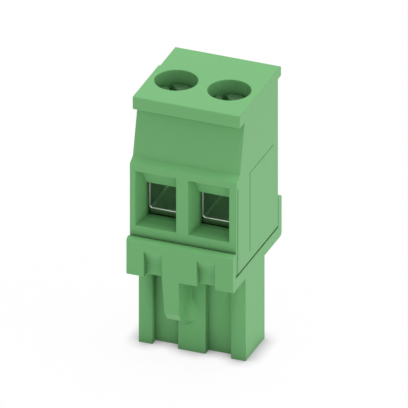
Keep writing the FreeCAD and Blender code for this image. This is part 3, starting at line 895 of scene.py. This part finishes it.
def add_sun(name, strength, softness, azimuth, elevation):
    """Far lamp with soft shadows."""
    data = bpy.data.lights.new(name, "SUN")
    data.energy = strength
    data.angle = softness
    return aim(name, data, direction(azimuth, elevation))


def seen(finish):
    """1 for rays that show the background: camera, gloss and glass."""
    camera, gloss, glass = (
        finish.value("ShaderNodeLightPath", output="Is %s Ray" % kind)
        for kind in ("Camera", "Glossy", "Transmission"))
    return (camera + gloss + glass).math("MINIMUM", 1.0)


def add_sky(s):
    """White background that lights the block only as far as it should."""
    world = bpy.data.worlds.new("Studio")
    bpy.context.scene.world = world
    world.use_nodes = True
    finish = Finish(world.node_tree)
    sky = finish.node("ShaderNodeBackground", {}, {
        "Color": finish.mix(seen(finish), (s.ambient,) * 3, (1, 1, 1))})
    finish.node("ShaderNodeOutputWorld", {}, {"Surface": sky.outputs[0]})


def add_floor(s):
    """White floor with the cast shadow and a painted contact shadow at the foot."""
    shape = bmesh.new()
    bmesh.ops.create_grid(
        shape, x_segments=FLOOR_CELLS, y_segments=FLOOR_CELLS, size=s.floor_size / 2)
    floor = link("Floor", finished("Floor", shape))
    floor.location.z = CAD_BOX[0].z - FLOOR_GAP
    material, finish = new_finish("White floor")
    lit = finish.node("ShaderNodeBsdfDiffuse", {}, {"Color": opaque((s.floor_shade,) * 3)})
    # Painted shadow: the white that the camera sees turns dark where the block stands close, as a
    # contact shadow
    white_with_painted_shadow = finish.node("ShaderNodeEmission", {}, {
        "Color": finish.mix(finish.closeness(s.shadow_reach), (1, 1, 1), (0, 0, 0))})
    both = finish.node("ShaderNodeMixShader", {}, {
        0: seen(finish) * (1 - s.shadow_share), 1: lit.outputs[0], 2: white_with_painted_shadow.outputs[0]})
    finish.node("ShaderNodeOutputMaterial", {}, {"Surface": both.outputs[0]})
    floor.data.materials.append(material)


# Operators

class TERMINAL_OT_housings(bpy.types.Operator):
    """Give the moulded housings their green plastic and the tongue its blend"""

    bl_idname = "terminal.housings"
    bl_label = "Housings"

    def execute(self, context):
        s = context.scene.terminal_blend
        material = green_plastic(context.scene.terminal_plastic)
        give(HOUSING_NODES, material)
        packed = cad_piece(PLUG_NODE)
        plug = link("Plug_housing", packed.data.copy())
        plug.matrix_world = packed.matrix_world.copy()
        cut(plug, link("tongue_trim", trim_block(s)))
        blend = link("Tongue_blend", blend_mesh(s))
        for piece, sharp in ((plug, s.plug_sharp), (blend, s.sharp)):
            dress(piece, material, sharp)
            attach(piece, body_with(PLUG_NODE))
        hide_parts(PLUG_NODE)
        flatten(plug)
        return {"FINISHED"}


class TERMINAL_OT_cages(bpy.types.Operator):
    """Give the clamp cages their zinc plated strip"""

    bl_idname = "terminal.cages"
    bl_label = "Clamp cages"

    def execute(self, context):
        s = context.scene.terminal_metal
        give(CAGE_NODES, rolled_metal(
            "Zinc plated strip", s.zinc, s.painted_front_reflection, s, CAGE_MARKS, s.cage_mottle))
        return {"FINISHED"}


class TERMINAL_OT_contacts(bpy.types.Operator):
    """Give the contacts their tin plated strip"""

    bl_idname = "terminal.contacts"
    bl_label = "Contacts"

    def execute(self, context):
        s = context.scene.terminal_metal
        # The contacts' front ends take the painted inner reflection too
        give(CONTACT_NODES, rolled_metal(
            "Tin plated strip", s.tin, s.painted_inner_reflection, s, CONTACT_MARKS, s.contact_mottle))
        return {"FINISHED"}


class TERMINAL_OT_screws(bpy.types.Operator):
    """Build the slotted screws with their threads"""

    bl_idname = "terminal.screws"
    bl_label = "Clamping screws"

    def execute(self, context):
        s = context.scene.terminal_screws
        material = turned_zinc(context.scene.terminal_metal)
        for number, node in enumerate(SCREW_NODES, 1):
            centre, radius, tip, top = screw_measures(node)
            name = "Slotted_screw_%d" % number
            screw = link(name, screw_mesh(name, s, centre, radius, tip, top))
            cut(screw, link("slot_cut", slot_mesh(s, centre, radius, top)))
            dress(screw, material, s.sharp)
            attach(screw, body_with(node))
            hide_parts(node)
        return {"FINISHED"}


class TERMINAL_OT_stage(bpy.types.Operator):
    """Set the camera, the lamps, the sky and the floor"""

    bl_idname = "terminal.stage"
    bl_label = "Studio"

    def execute(self, context):
        s = context.scene.terminal_stage
        add_camera(s)
        key = add_sun("Key lamp", s.sun, s.sun_softness, s.sun_azimuth, s.sun_elevation)
        key.visible_glossy = False
        add_sun("Fill lamp", s.fill, s.fill_softness, s.fill_azimuth, s.fill_elevation)
        add_sun("Side lamp", s.side, s.side_softness, s.side_azimuth, s.side_elevation)
        add_sky(s)
        add_floor(s)
        context.scene.view_settings.view_transform = "Standard"
        return {"FINISHED"}


class TERMINAL_PT_panel(bpy.types.Panel):
    """Lists the steps that finish the block"""

    bl_label = "Terminal Block"
    bl_idname = "TERMINAL_PT_panel"
    bl_space_type = "VIEW_3D"
    bl_region_type = "UI"
    bl_category = "Terminal Block"

    def draw(self, context):
        for step in STEPS:
            self.layout.operator(step.bl_idname)


SETTINGS = {
    "terminal_plastic": PlasticSettings,
    "terminal_metal": MetalSettings,
    "terminal_screws": ScrewSettings,
    "terminal_blend": BlendSettings,
    "terminal_stage": StageSettings,
}
STEPS = (
    TERMINAL_OT_stage,
    TERMINAL_OT_housings,
    TERMINAL_OT_cages,
    TERMINAL_OT_contacts,
    TERMINAL_OT_screws,
)


def register():
    for made in (*SETTINGS.values(), *STEPS, TERMINAL_PT_panel):
        bpy.utils.register_class(made)
    for name, group in SETTINGS.items():
        setattr(bpy.types.Scene, name, bpy.props.PointerProperty(type=group))


def unregister():
    for name in SETTINGS:
        delattr(bpy.types.Scene, name)
    for made in reversed((*SETTINGS.values(), *STEPS, TERMINAL_PT_panel)):
        bpy.utils.unregister_class(made)


def main():
    register()
    bpy.ops.terminal.stage()
    bpy.ops.terminal.housings()
    bpy.ops.terminal.cages()
    bpy.ops.terminal.contacts()
    bpy.ops.terminal.screws()


if __name__ == "__main__":
    main()
